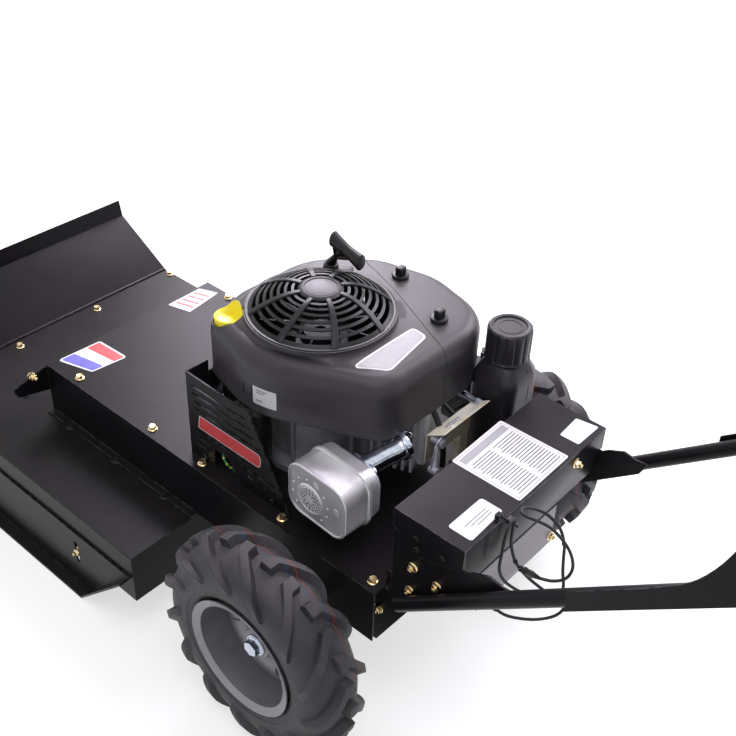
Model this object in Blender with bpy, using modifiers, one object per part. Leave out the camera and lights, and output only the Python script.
"""Walk-behind brush cutter: front cutting deck, vertical-shaft engine, two driven wheels, handle.

Metres, +Z up, +Y to the rear (where the operator walks), +X to the machine's left.
The origin lies on the ground, under the middle of the machine's box.
Every station along Y is given from the wheel axle, and y_at() turns it into a coordinate.
"""
import bpy
import bmesh
from math import cos, sin, tan, radians, pi, hypot, atan2, acos
from mathutils import Matrix, Vector

# Reach of the grips behind the handle's bend
grip_reach = 0.215

# Sheet metal and clearances
sheet = 0.003
plate_steel = 0.004
gap = 0.0003
run_gap = 0.0006
small_round = 0.012

# Wheels and axle
tyre_radius = 0.203
tyre_width = 0.155
wheel_face_x = 0.400
rim_radius = 0.104
axle_radius = 0.0127
lug_count = 16
lug_height = 0.011

# Cutting deck
deck_left = 0.3705
deck_right = -0.2977
deck_top = 0.1935
skirt_height = 0.1095
deck_front = -1.008
deck_rear = -0.300

# Engine platform: a raised folded sheet along the middle of the machine
platform_half = 0.2117
platform_top = 0.308
platform_front = -0.747
platform_rear = 0.128
platform_flange = 0.018
tab_reach = 0.082
tab_tip = platform_top - 0.021
tab_foot = platform_top - 0.063

# Front shield
shield_flange = 0.050
shield_slope_run = 0.154
shield_slope_rise = 0.089
shield_lip_run = 0.0085
shield_lip_rise = 0.040

# Skids
skid_top = 0.144
skid_sole = 0.0245
skid_rear = -0.4465
skid_upsweep = 0.1415
skid_front = -0.93

# Blade spindle
spindle_station = -0.654
spindle_radius = 0.0125
blade_length = 0.600
blade_width = 0.064
blade_thick = 0.006
blade_z = 0.098
spindle_pulley_radius = 0.060
spindle_sides = 14
blade_bore = 0.0095
idler_radius = 0.022
idler_swing = radians(8)

# Engine
crank_station = -0.196
crank_radius = 0.0127
blade_belt_z = 0.232
drive_belt_z = 0.272
input_station = 0.022
input_pulley_radius = 0.055
crank_pulley_radius = 0.045
belt_thick = 0.005
belt_proud = 0.002
shroud_bottom = 0.468
shroud_top = 0.594
shroud_wall = 0.003
shroud_shoulder = 0.036
shroud_facets = 36
housing_lugs = (-100, 0, 70)
cylinder_foot = 0.112
intake_reach = 0.080
grille_radius = 0.125
grille_rise = 0.040
grille_hub_radius = 0.038
grille_ribs = 9
grille_slots = 6
cylinder_angle = radians(22)
cylinder_end = 0.196
muffler_angle = radians(-9.8)
filler_x = 0.108
filler_back = -0.113
filler_radius = 0.017
collar_radius = 0.030
oil_cap_radius = 0.0255

# Fuel tank
tank_side = 0.092
tank_x = -0.197
tank_station = 0.060
tank_height = 0.226
fuel_cap_radius = 0.040
fuel_cap_height = 0.062

# Battery box and frame rails
box_half = 0.183
box_top = 0.488
box_front = 0.138
box_rear = 0.270
box_lip = 0.043
rail_bottom = 0.165

# Handle
tube_radius = 0.0127
handle_angle = radians(40)
handle_start = 0.165
handle_datum = 0.455
handle_datum_z = 0.5465
handle_bend = 0.770
grip_angle = radians(14)
grip_length = 0.125
grip_radius = 0.017
lever_pin_radius = 0.003
panel_front = 0.445
panel_sink = 0.0015
panel_sweep = [(0.023, 0.120), (0.043, 0.177), (0.070, 0.222)]
console_depth = 0.120
console_rear = handle_bend + 0.005
console_front = console_rear - console_depth
console_top = 0.905
lever_station = console_rear - 0.047
key_station = lever_station + 0.002
key_radius = 0.009

# Charging lead
lead_radius = 0.0025

# The origin lies midway between the shield's lip and the grips
front_reach = -deck_front + shield_slope_run + shield_lip_run
rear_reach = handle_bend + grip_reach
axle_station = (front_reach - rear_reach) / 2

parts = bpy.data.collections.new("brush_cutter")
tools = bpy.data.collections.new("cutters")
materials = {}


def clear_scene():
    """Start from an empty scene."""
    for old in list(bpy.data.objects):
        bpy.data.objects.remove(old, do_unlink=True)
    bpy.context.scene.collection.children.link(parts)
    bpy.context.scene.collection.children.link(tools)


def y_at(station):
    """Coordinate of a station that is measured from the wheel axle."""
    return axle_station + station


def finish(name, colour, roughness, metallic=0.0):
    """A plain Principled material, made once for each finish."""
    mat = materials.get(name)
    if mat is None:
        mat = bpy.data.materials.new(name)
        mat.use_nodes = True
        shader = mat.node_tree.nodes["Principled BSDF"]
        shader.inputs["Base Color"].default_value = (*colour, 1.0)
        shader.inputs["Roughness"].default_value = roughness
        shader.inputs["Metallic"].default_value = metallic
        mat.diffuse_color = (*colour, 1.0)
        materials[name] = mat
    return mat


def black_coat():
    return finish("black_powder_coat", (0.030, 0.028, 0.032), 0.38)


def black_plastic():
    return finish("black_moulded_plastic", (0.024, 0.023, 0.025), 0.48)


def bare_metal():
    return finish("brushed_aluminium", (0.62, 0.62, 0.64), 0.32, 1.0)


def cast_metal():
    return finish("cast_aluminium", (0.42, 0.42, 0.44), 0.5, 0.9)


def dark_steel():
    return finish("dark_steel", (0.16, 0.16, 0.17), 0.45, 0.8)


def rubber():
    return finish("black_rubber", (0.035, 0.033, 0.037), 0.78)


def zinc():
    return finish("bright_zinc", (0.66, 0.68, 0.72), 0.22, 1.0)


def chromate():
    return finish("yellow_chromate", (0.62, 0.52, 0.24), 0.35, 0.9)


def yellow_plastic():
    return finish("yellow_plastic", (0.86, 0.80, 0.02), 0.35)


def place(mesh, name, mat, group=None):
    """Put a mesh in the scene as an object with its material."""
    obj = bpy.data.objects.new(name, mesh)
    (group or parts).objects.link(obj)
    obj.data.materials.clear()
    obj.data.materials.append(mat)
    return obj


def as_tool(obj):
    """Keep a helper shape out of the model: it only cuts or joins."""
    for home in list(obj.users_collection):
        home.objects.unlink(obj)
    tools.objects.link(obj)
    obj.hide_render = True
    obj.display_type = 'WIRE'
    return obj


def boolean(obj, tool, operation):
    mod = obj.modifiers.new(operation.lower(), 'BOOLEAN')
    mod.operation = operation
    mod.solver = 'EXACT'
    mod.object = as_tool(tool)
    return obj


def cut(obj, *others):
    for tool in others:
        boolean(obj, tool, 'DIFFERENCE')
    return obj


def weld(obj, *others):
    for tool in others:
        boolean(obj, tool, 'UNION')
    return obj


def smooth(obj, angle=35):
    obj.data.shade_smooth()
    obj.data.set_sharp_from_angle(angle=radians(angle))
    return obj


def turn_to(axis):
    """Matrix that lays a shape made along Z along another axis."""
    if axis == 'X':
        return Matrix.Rotation(pi / 2, 4, 'Y')
    if axis == 'Y':
        return Matrix.Rotation(-pi / 2, 4, 'X')
    return Matrix.Identity(4)


def block(name, low, high, mat, bevel=0.0, segments=1):
    """Box between two corners, with rounded edges if asked."""
    bm = bmesh.new()
    bmesh.ops.create_cube(bm, size=1.0)
    size = [h - l for l, h in zip(low, high)]
    middle = [(h + l) / 2 for l, h in zip(low, high)]
    bmesh.ops.scale(bm, vec=size, verts=bm.verts)
    bmesh.ops.translate(bm, vec=middle, verts=bm.verts)
    if bevel:
        bmesh.ops.bevel(bm, geom=list(bm.edges), offset=bevel, segments=segments, affect='EDGES',
                        profile=0.5)
    mesh = bpy.data.meshes.new(name)
    bm.to_mesh(mesh)
    bm.free()
    return place(mesh, name, mat)


def rod(name, start, axis, length, radius, mat, sides=0, tip_radius=None):
    """Round bar or cone from a start point along X, Y or Z."""
    sides = sides or (12 if radius < small_round else 16)
    bm = bmesh.new()
    bmesh.ops.create_cone(bm, cap_ends=True, segments=sides, radius1=radius,
                          radius2=radius if tip_radius is None else tip_radius, depth=length)
    bmesh.ops.translate(bm, vec=(0, 0, length / 2), verts=bm.verts)
    bmesh.ops.transform(bm, matrix=turn_to(axis), verts=bm.verts)
    bmesh.ops.translate(bm, vec=start, verts=bm.verts)
    mesh = bpy.data.meshes.new(name)
    bm.to_mesh(mesh)
    bm.free()
    return smooth(place(mesh, name, mat))


def turned(name, profile, centre, axis, mat, steps=16):
    """Body of revolution: profile of (radius, height) points from top to bottom, closed."""
    bm = bmesh.new()
    points = [bm.verts.new((r, 0, h)) for r, h in profile]
    for a, b in zip(points, points[1:]):
        bm.edges.new((a, b))
    if profile[0][0] > 1e-6:
        bm.edges.new((points[-1], points[0]))
    mesh = bpy.data.meshes.new(name)
    bm.to_mesh(mesh)
    bm.free()
    obj = place(mesh, name, mat)
    mod = obj.modifiers.new("turn", 'SCREW')
    mod.axis = 'Z'
    mod.steps = steps
    mod.render_steps = steps
    mod.use_merge_vertices = True
    mod.merge_threshold = 0.00001
    mod.use_smooth_shade = False
    obj.matrix_world = Matrix.Translation(Vector(centre)) @ turn_to(axis)
    return obj


def to_mesh(obj, name, mat):
    """Change a curve into a closed mesh object: its caps are welded on."""
    bpy.context.view_layer.update()
    ready = obj.evaluated_get(bpy.context.evaluated_depsgraph_get())
    mesh = bpy.data.meshes.new_from_object(ready)
    world = obj.matrix_world.copy()
    bpy.data.objects.remove(obj, do_unlink=True)
    bm = bmesh.new()
    bm.from_mesh(mesh)
    bmesh.ops.remove_doubles(bm, verts=bm.verts, dist=1e-5)
    bmesh.ops.recalc_face_normals(bm, faces=bm.faces)
    bm.to_mesh(mesh)
    bm.free()
    made = place(mesh, name, mat)
    made.matrix_world = world
    return made


def plate(name, outline, axis, start, thickness, mat, holes=()):
    """Flat outline given thickness along X, Y or Z.

    The outline's two numbers are (y, z) for X, (x, z) for Y and (x, y) for Z.
    """
    curve = bpy.data.curves.new(name, 'CURVE')
    curve.dimensions = '2D'
    curve.fill_mode = 'BOTH'
    curve.extrude = thickness / 2
    for loop in (outline, *holes):
        line = curve.splines.new('POLY')
        line.points.add(len(loop) - 1)
        for point, (u, v) in zip(line.points, loop):
            point.co = (u, v, 0, 1)
        line.use_cyclic_u = True
    obj = bpy.data.objects.new(name, curve)
    parts.objects.link(obj)
    middle = start + thickness / 2
    if axis == 'X':
        obj.matrix_world = Matrix(((0, 0, 1, middle), (1, 0, 0, 0), (0, 1, 0, 0), (0, 0, 0, 1)))
    elif axis == 'Y':
        obj.matrix_world = Matrix(((1, 0, 0, 0), (0, 0, -1, middle), (0, 1, 0, 0), (0, 0, 0, 1)))
    else:
        obj.matrix_world = Matrix.Translation((0, 0, middle))
    return to_mesh(obj, name, mat)


def folded(name, path, thickness, axis, start, length, mat):
    """Sheet bent along a path and drawn out along an axis; the sheet lies left of the path."""
    offset = []
    for i, here in enumerate(path):
        before = path[i - 1] if i else None
        after = path[i + 1] if i < len(path) - 1 else None
        normals = []
        for a, b in ((before, here), (here, after)):
            if a is not None and b is not None:
                run = hypot(b[0] - a[0], b[1] - a[1])
                normals.append(Vector((-(b[1] - a[1]) / run, (b[0] - a[0]) / run)))
        if len(normals) == 2:
            mean = (normals[0] + normals[1]).normalized()
            shift = mean * (thickness / mean.dot(normals[0]))
        else:
            shift = normals[0] * thickness
        offset.append((here[0] + shift.x, here[1] + shift.y))
    return plate(name, list(path) + offset[::-1], axis, start, length, mat)


def arc(centre, radius, start, end, count):
    """Points along an arc, angles in degrees."""
    step = (end - start) / (count - 1)
    return [(centre[0] + radius * cos(radians(start + step * i)),
             centre[1] + radius * sin(radians(start + step * i))) for i in range(count)]


def rounded(corners, count=5):
    """Closed outline with rounded corners, from (u, v, radius) going counter-clockwise."""
    out = []
    total = len(corners)
    for i, (u, v, radius) in enumerate(corners):
        here = Vector((u, v))
        back = (Vector(corners[i - 1][:2]) - here).normalized()
        ahead = (Vector(corners[(i + 1) % total][:2]) - here).normalized()
        half = acos(max(-1.0, min(1.0, back.dot(ahead)))) / 2
        if radius <= 0 or abs(half - pi / 2) < 1e-3:
            out.append((u, v))
            continue
        reach = radius / tan(half)
        centre = here + (back + ahead).normalized() * (radius / sin(half))
        first = here + back * reach - centre
        last = here + ahead * reach - centre
        begin = atan2(first.y, first.x)
        sweep = atan2(last.y, last.x) - begin
        sweep = (sweep + pi) % (2 * pi) - pi
        for k in range(count):
            angle = begin + sweep * k / (count - 1)
            out.append((centre.x + radius * cos(angle), centre.y + radius * sin(angle)))
    return out


def tube(name, points, radius, mat, resolution=3):
    """Round bar or tube along a chain of points."""
    curve = bpy.data.curves.new(name, 'CURVE')
    curve.dimensions = '3D'
    curve.bevel_depth = radius
    curve.bevel_resolution = resolution
    curve.use_fill_caps = True
    line = curve.splines.new('POLY')
    line.points.add(len(points) - 1)
    for point, place_at in zip(line.points, points):
        point.co = (*place_at, 1)
    obj = bpy.data.objects.new(name, curve)
    parts.objects.link(obj)
    return to_mesh(obj, name, mat)


def bent(points, radius, count=6):
    """Chain of points with its inner corners rounded to a bend radius."""
    out = [Vector(points[0])]
    for a, b, c in zip(points, points[1:], points[2:]):
        corner = Vector(b)
        back = (Vector(a) - corner).normalized()
        ahead = (Vector(c) - corner).normalized()
        half = back.angle(ahead) / 2
        reach = radius / tan(half)
        centre = corner + (back + ahead).normalized() * (radius / sin(half))
        first = corner + back * reach - centre
        last = corner + ahead * reach - centre
        sweep = first.angle(last)
        for k in range(count):
            t = k / (count - 1)
            mixed = first * sin((1 - t) * sweep) + last * sin(t * sweep)
            out.append(centre + mixed / sin(sweep))
    out.append(Vector(points[-1]))
    return out


def move(obj, matrix):
    obj.matrix_world = matrix @ obj.matrix_world
    return obj


def hinge_on(obj, point):
    """Put a moving piece's origin on its joint's axis; its shape stays where it is."""
    shift = obj.matrix_world.inverted() @ Vector(point)
    obj.data.transform(Matrix.Translation(-shift))
    obj.matrix_world = obj.matrix_world @ Matrix.Translation(shift)
    return obj


def deck_shell():
    """Inverted steel tray: top plate with a skirt on all four sides."""
    low = deck_top - skirt_height
    path = [(deck_left, low), (deck_left, deck_top), (deck_right, deck_top), (deck_right, low)]
    shell = folded("deck_shell", path, sheet, 'Y', y_at(deck_front), deck_rear - deck_front,
                   black_coat())
    inner = [(deck_right + sheet / 2, low), (deck_left - sheet / 2, low),
             (deck_left - sheet / 2, deck_top - sheet / 2), (deck_right + sheet / 2, deck_top - sheet / 2)]
    rear = plate("deck_rear_wall", inner, 'Y', y_at(deck_rear) - sheet, sheet, black_coat())
    front = plate("deck_front_wall", inner, 'Y', y_at(deck_front), sheet, black_coat())
    weld(shell, rear, front)
    hole = rod("spindle_hole", (deck_middle(), y_at(spindle_station), deck_top - 0.02), 'Z', 0.04,
               spindle_housing_radius() + gap, black_coat())
    return cut(shell, hole)


def deck_middle():
    return (deck_left + deck_right) / 2


def spindle_housing_radius():
    return spindle_radius + 0.018


def front_shield():
    """Brush guard: a flange bolted on the deck, a slope up and forward, and a stiff lip."""
    y0 = y_at(deck_front)
    z0 = deck_top + gap
    path = [(y0 + shield_flange, z0), (y0 - 0.002, z0)]
    path += [(y0 - shield_slope_run, z0 + shield_slope_rise)]
    path += [(y0 - shield_slope_run - shield_lip_run, z0 + shield_slope_rise + shield_lip_rise)]
    outline = [(y, z) for y, z in path]
    return folded("front_shield", outline[::-1], sheet, 'X', deck_right, deck_left - deck_right,
                  black_coat())


def engine_platform():
    """Raised channel that carries the engine over the belts, with flanges bolted to the deck."""
    foot = deck_top + gap
    path = [(-platform_half - platform_flange, foot), (-platform_half, foot),
            (-platform_half, platform_top - sheet), (platform_half, platform_top - sheet),
            (platform_half, foot), (platform_half + platform_flange, foot)]
    body = folded("engine_platform", path, sheet, 'Y', y_at(platform_front),
                  platform_rear - platform_front, black_coat())
    clear = block("flange_relief", (-0.3, y_at(deck_rear), foot - 0.02),
                  (-platform_half - sheet, y_at(platform_rear) + 0.01, foot + 0.02), black_coat())
    clear_left = block("flange_relief_left", (platform_half + sheet, y_at(deck_rear), foot - 0.02),
                       (0.3, y_at(platform_rear) + 0.01, foot + 0.02), black_coat())
    tab = [(platform_half - sheet / 2, platform_top - sheet / 2), (platform_half - sheet / 2, tab_foot),
           (platform_half + 0.073, tab_tip - 0.024), (platform_half + tab_reach, tab_tip - 0.010),
           (platform_half + tab_reach, tab_tip)]
    weld(body, plate("platform_tab", tab, 'Y', y_at(platform_front), sheet, black_coat()))
    shaft = rod("crank_hole", (0, y_at(crank_station), platform_top - 0.02), 'Z', 0.04,
                crank_radius + 0.012, black_coat())
    axle = rod("axle_relief", (-0.3, y_at(0), tyre_radius), 'X', 0.6, axle_radius + 0.012,
               black_coat())
    return cut(body, clear, clear_left, shaft, axle)


def skid(side):
    """Runner plate with a sole that turns up at its rear end; side is +1 for the left."""
    name = "skid_left" if side > 0 else "skid_right"
    edge = deck_left if side > 0 else deck_right
    rise = skid_upsweep
    top = skid_top
    outline = [(y_at(skid_front - 0.05), top), (y_at(skid_front - 0.05), 0.09), (y_at(skid_front), 0.0),
               (y_at(skid_rear), 0.0), (y_at(skid_rear + rise), rise + 0.001), (y_at(skid_rear + rise), top)]
    near = edge + side * gap
    start = near if side > 0 else near - plate_steel
    web = plate(name, outline, 'X', start, plate_steel, black_coat())
    slot = rounded([(y_at(skid_rear - 0.03), 0.066, 0.0055), (y_at(skid_rear - 0.019), 0.066, 0.0055),
                    (y_at(skid_rear - 0.019), 0.12, 0.0055), (y_at(skid_rear - 0.03), 0.12, 0.0055)])
    shift = skid_front - skid_rear + 0.13
    for number in (0, 1):
        marks = [(y + shift * number, z) for y, z in slot]
        cut(web, plate("skid_slot", marks, 'X', start - 0.01, 0.03, black_coat()))
    sole_start = start + plate_steel / 2 if side > 0 else start + plate_steel / 2 - skid_sole
    path = [(y_at(skid_front - 0.05), 0.09), (y_at(skid_front), 0.0), (y_at(skid_rear), 0.0),
            (y_at(skid_rear + rise), rise + 0.001)]
    sole = folded("skid_sole", path, plate_steel, 'X', sole_start, skid_sole, black_coat())
    return weld(web, sole)


def spindle_housing():
    """Cast housing that hangs through the deck and holds the blade spindle's bearings."""
    bore = spindle_radius + run_gap
    r = spindle_housing_radius()
    top = deck_top + 0.018
    profile = [(bore, top), (r * 0.8, top), (r + 0.004, deck_top + 0.008), (r + 0.024, deck_top + 0.006),
               (r + 0.024, deck_top + gap), (r, deck_top + gap), (r, deck_top - 0.05),
               (r * 0.75, deck_top - 0.062), (bore, deck_top - 0.062)]
    return turned("spindle_housing", profile, (deck_middle(), y_at(spindle_station), 0), 'Z',
                  cast_metal())


def pulley_profile(radius, middle, width=0.016):
    """Vee pulley's outer edge, from top to bottom."""
    half = width / 2
    return [(radius - 0.004, middle + half), (radius, middle + half - 0.001), (radius - 0.010, middle),
            (radius, middle - half + 0.001), (radius - 0.004, middle - half)]


def blade_spindle():
    """Spindle shaft with its pulley above the deck and its blade boss below."""
    low = blade_z - 0.020
    pulley_top = blade_belt_z + 0.016 / 2
    r = spindle_radius
    profile = [(0, pulley_top + 0.012), (r, pulley_top + 0.012), (r, pulley_top)]
    profile += pulley_profile(spindle_pulley_radius, blade_belt_z)
    over, under = blade_z + blade_thick / 2, blade_z - blade_thick / 2
    profile += [(r, blade_belt_z - 0.016 / 2), (r, over + 0.016), (0.024, over + 0.012),
                (0.024, over + gap), (blade_bore, over + gap), (blade_bore, under - gap),
                (0.016, under - gap), (0.016, low + 0.008), (0.0085, low), (0, low)]
    return turned("blade_spindle", profile, (deck_middle(), y_at(spindle_station), 0), 'Z',
                  dark_steel(), spindle_sides)


def cutting_blade():
    """Flat bar with swept cutting ends."""
    half, w = blade_length / 2, blade_width / 2
    bore = blade_bore + gap
    outline = [(-half, -w * 0.6), (-half + 0.012, -w), (half - 0.14, -w), (half, -w * 0.55),
               (half, w * 0.6), (half - 0.012, w), (-half + 0.14, w), (-half, w * 0.55)]
    hole = arc((0, 0), bore, 0, 360 - 360 / spindle_sides, spindle_sides)
    blade = plate("cutting_blade", outline, 'Z', blade_z - blade_thick / 2, blade_thick,
                  dark_steel(), [hole])
    return move(blade, Matrix.Translation((deck_middle(), y_at(spindle_station), 0)))


def crankshaft():
    """Crankshaft with the two drive pulleys keyed on its lower end."""
    r = crank_radius
    low = blade_belt_z - 0.018
    top = shroud_top - 0.055
    half = 0.016 / 2
    profile = [(0, top), (r * 0.8, top), (r * 0.8, top - 0.034), (r, top - 0.034), (r, drive_belt_z + half)]
    profile += pulley_profile(crank_pulley_radius, drive_belt_z)
    profile += [(r, drive_belt_z - half), (r, blade_belt_z + half)]
    profile += pulley_profile(crank_pulley_radius, blade_belt_z)
    profile += [(0.018, blade_belt_z - half), (0.018, low), (0, low)]
    return turned("crankshaft", profile, (0, y_at(crank_station), 0), 'Z', dark_steel(), 12)


def belt(name, centre_a, radius_a, centre_b, radius_b, level, axis_points=12):
    """Vee belt round two pulleys: its outer and inner run are tangent to both grooves."""
    ax, ay = centre_a
    bx, by = centre_b
    length = hypot(bx - ax, by - ay)
    facing = atan2(by - ay, bx - ax)

    def run(extra):
        ra, rb = radius_a + extra, radius_b + extra
        lean = acos((ra - rb) / length)
        out = []
        for k in range(axis_points):
            angle = facing + lean + (2 * pi - 2 * lean) * k / (axis_points - 1)
            out.append((ax + ra * cos(angle), ay + ra * sin(angle)))
        for k in range(axis_points):
            angle = facing - lean + 2 * lean * k / (axis_points - 1)
            out.append((bx + rb * cos(angle), by + rb * sin(angle)))
        return out
    return plate(name, run(belt_proud), 'Z', level - belt_thick / 2, belt_thick, rubber(), [run(-0.0052)])


def blade_belt():
    return belt("blade_belt", (0, y_at(crank_station)), crank_pulley_radius,
                (deck_middle(), y_at(spindle_station)), spindle_pulley_radius, blade_belt_z)


def drive_belt():
    return belt("drive_belt", (0, y_at(input_station)), input_pulley_radius,
                (0, y_at(crank_station)), crank_pulley_radius, drive_belt_z)


def transaxle_pulley():
    """Input pulley of the gearbox, with the stub of its shaft."""
    r = 0.0085
    profile = [(0, drive_belt_z + 0.014), (r, drive_belt_z + 0.014), (r, drive_belt_z + 0.016 / 2)]
    profile += pulley_profile(input_pulley_radius, drive_belt_z)
    profile += [(r, drive_belt_z - 0.016 / 2), (r, drive_belt_z - 0.030), (0, drive_belt_z - 0.030)]
    return turned("transaxle_pulley", profile, (0, y_at(input_station), 0), 'Z', dark_steel())


def transaxle():
    """Cast gearbox on the axle, with its input housing and axle tubes."""
    case_top = drive_belt_z - 0.016
    case = block("transaxle", (-0.075, y_at(-0.075), tyre_radius - 0.055),
                 (0.075, y_at(0.080), case_top - 0.010), cast_metal(), 0.016)
    tube_out = rail_inner() - gap
    arms = rod("axle_tubes", (-tube_out, y_at(0), tyre_radius), 'X', 2 * tube_out, 0.028,
               cast_metal())
    input_boss = rod("input_boss", (0, y_at(input_station), tyre_radius), 'Z',
                     case_top - tyre_radius, 0.024, cast_metal())
    weld(case, arms, input_boss)
    bore = rod("axle_bore", (-tube_out - 0.01, y_at(0), tyre_radius), 'X', 2 * tube_out + 0.02,
               axle_radius + run_gap, cast_metal())
    input_bore = rod("input_bore", (0, y_at(input_station), drive_belt_z - 0.032), 'Z', 0.05,
                     0.0085 + run_gap, cast_metal())
    return cut(case, bore, input_bore)


def rail_inner():
    return box_half + gap


def rail_outer():
    return rail_inner() + plate_steel


def handle_line(station):
    """Height of the handle tube's middle at a station, on its straight stretch."""
    return handle_datum_z + (station - handle_datum) * tan(handle_angle)


def frame_rail(side):
    """Side plate: carries the axle under the platform, the battery box and the handle tube."""
    name = "frame_rail_left" if side > 0 else "frame_rail_right"
    under = platform_top - sheet - gap
    drop = tube_radius / cos(handle_angle)
    front = -0.115
    outline = [(front, under), (front, rail_bottom + 0.03), (front + 0.03, rail_bottom),
               (0.115, rail_bottom), (box_front + 0.05, handle_line(box_front + 0.05) - drop),
               (0.345, handle_line(0.345) - drop), (0.357, handle_line(0.357)), (0.335, 0.462),
               (0.312, 0.466), (box_rear + 0.014, 0.4525), (box_rear + 0.004, box_top - box_lip - 0.001),
               (box_front, box_top - box_lip - 0.001), (box_front, under)]
    points = [(y_at(a), z) for a, z in outline]
    start = rail_inner() if side > 0 else -rail_outer()
    web = plate(name, points[::-1], 'X', start, plate_steel, black_coat())
    flange_low = start if side > 0 else start + plate_steel - 0.022
    flange = block("rail_flange", (flange_low, y_at(front), under - plate_steel),
                   (flange_low + 0.022, y_at(box_front) - 0.012, under), black_coat())
    weld(web, flange)
    hole = rod("rail_axle_hole", (start - 0.01, y_at(0), tyre_radius), 'X', 0.03,
               axle_radius + run_gap, black_coat())
    return cut(web, hole)


def axle_shaft(side):
    """Half shaft: turns in the transaxle and carries the wheel hub."""
    name = "axle_left" if side > 0 else "axle_right"
    inner = 0.010
    length = wheel_face_x - 0.052 - inner
    start = inner if side > 0 else -inner - length
    shaft = rod(name, (start, y_at(0), tyre_radius), 'X', length, axle_radius, dark_steel())
    return hinge_on(shaft, (0, y_at(0), tyre_radius))


def wheel_middle():
    return wheel_face_x - tyre_width / 2


def wheel_rim(side):
    """Pressed steel rim with a dished centre, a hub and eight slots."""
    name = "rim_left" if side > 0 else "rim_right"
    w = tyre_width / 2
    r = rim_radius
    bore = axle_radius + gap
    profile = [(bore, 0.030), (0.028, 0.030), (0.028, 0.007), (0.060, 0.003), (0.082, 0.013),
               (r - 0.010, 0.010), (r - 0.010, w - 0.010), (r + 0.006, w - 0.006), (r - 0.004, w - 0.016),
               (r - 0.004, -w + 0.016), (r + 0.006, -w + 0.006), (r - 0.010, -w + 0.010), (r - 0.014, 0.006),
               (0.060, -0.002), (0.028, -0.040), (bore, -0.040)]
    rim = turned(name, profile, (0, 0, 0), 'X', finish("grey_rim", (0.30, 0.30, 0.32), 0.45, 0.6), 16)
    count = 6
    for k in range(count):
        around = Matrix.Rotation(2 * pi * k / count, 4, 'X')
        slot = [(-0.012, 0.063), (0.012, 0.063), (0.012, 0.074), (-0.012, 0.074)]
        tool = plate("rim_slot", slot, 'X', -0.03, 0.06, dark_steel())
        tool.matrix_world = around @ tool.matrix_world
        cut(rim, tool)
    bpy.context.view_layer.update()
    turn = Matrix.Identity(4) if side > 0 else Matrix.Rotation(pi, 4, 'Z')
    centre = Vector((side * wheel_middle(), y_at(0), tyre_radius))
    for mod in rim.modifiers:
        if mod.type == 'BOOLEAN':
            mod.object.matrix_world = Matrix.Translation(centre) @ turn @ mod.object.matrix_world
    rim.matrix_world = Matrix.Translation(centre) @ turn @ rim.matrix_world
    return rim


def tyre(side):
    """Agricultural tyre: a turned casing whose tread rings are raised to slanting lugs."""
    name = "tyre_left" if side > 0 else "tyre_right"
    w = tyre_width / 2
    base = tyre_radius - lug_height
    bead = rim_radius + 0.0065
    foot = rim_radius - 0.0037
    section = [(-w + 0.012, bead, 0), (-w, base - 0.036, 0), (-w + 0.002, base - 0.010, 1),
               (-0.001, base, 1), (0.001, base, 2), (w - 0.002, base - 0.010, 2), (w, base - 0.036, 0),
               (w - 0.012, bead, 0), (w - 0.030, foot, 0), (-w + 0.030, foot, 0)]
    steps = lug_count * 4
    pitch = 2 * pi / steps
    bm = bmesh.new()
    rings = []
    for i in range(steps):
        ring = []
        for x, r, kind in section:
            lead = abs(x) / w * pitch * 3.2 if kind else 0.0
            phase = i + (2 if kind == 2 else 0)
            lift = lug_height if kind and phase % 4 < 2 else 0.0
            if kind and abs(x) < 0.001:
                lift *= 0.2
            angle = i * pitch + lead
            radius = r + lift
            ring.append(bm.verts.new((x, radius * cos(angle), radius * sin(angle))))
        rings.append(ring)
    count = len(section)
    for i in range(steps):
        a, b = rings[i], rings[(i + 1) % steps]
        for j in range(count):
            k = (j + 1) % count
            bm.faces.new((a[j], b[j], b[k], a[k]))
    bmesh.ops.recalc_face_normals(bm, faces=bm.faces)
    mesh = bpy.data.meshes.new(name)
    bm.to_mesh(mesh)
    bm.free()
    obj = place(mesh, name, finish("tyre_rubber", (0.055, 0.052, 0.058), 0.8))
    turn = 0 if side > 0 else pi
    obj.matrix_world = (Matrix.Translation((side * wheel_middle(), y_at(0), tyre_radius))
                        @ Matrix.Rotation(turn, 4, 'Z'))
    return obj


def shroud_reach(angle):
    """Distance from the crankshaft to the blower housing's side, in one direction."""
    plan = rounded([(filler_x + collar_radius, filler_back - collar_radius, collar_radius),
                    (0.170, 0.000, 0.160), (0.074, 0.216, 0.058), (-0.226, 0.216, 0.100),
                    (-0.226, -0.176, 0.130), (0.040, -0.176, 0.090)], 9)
    ray = Vector((cos(angle), sin(angle)))
    reach = 0.0
    for a, b in zip(plan, plan[1:] + plan[:1]):
        a, b = Vector(a), Vector(b)
        side_a, side_b = ray.cross(a), ray.cross(b)
        if side_a * side_b <= 0 and side_a != side_b:
            hit = a.lerp(b, side_a / (side_a - side_b))
            reach = max(reach, hit.dot(ray))
    return reach


def shroud_outline():
    """Plan of the blower housing and cover round the crankshaft, at even angles."""
    angles = [2 * pi * k / shroud_facets for k in range(shroud_facets)]
    return [(shroud_reach(angle) * cos(angle), shroud_reach(angle) * sin(angle)) for angle in angles]


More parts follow.
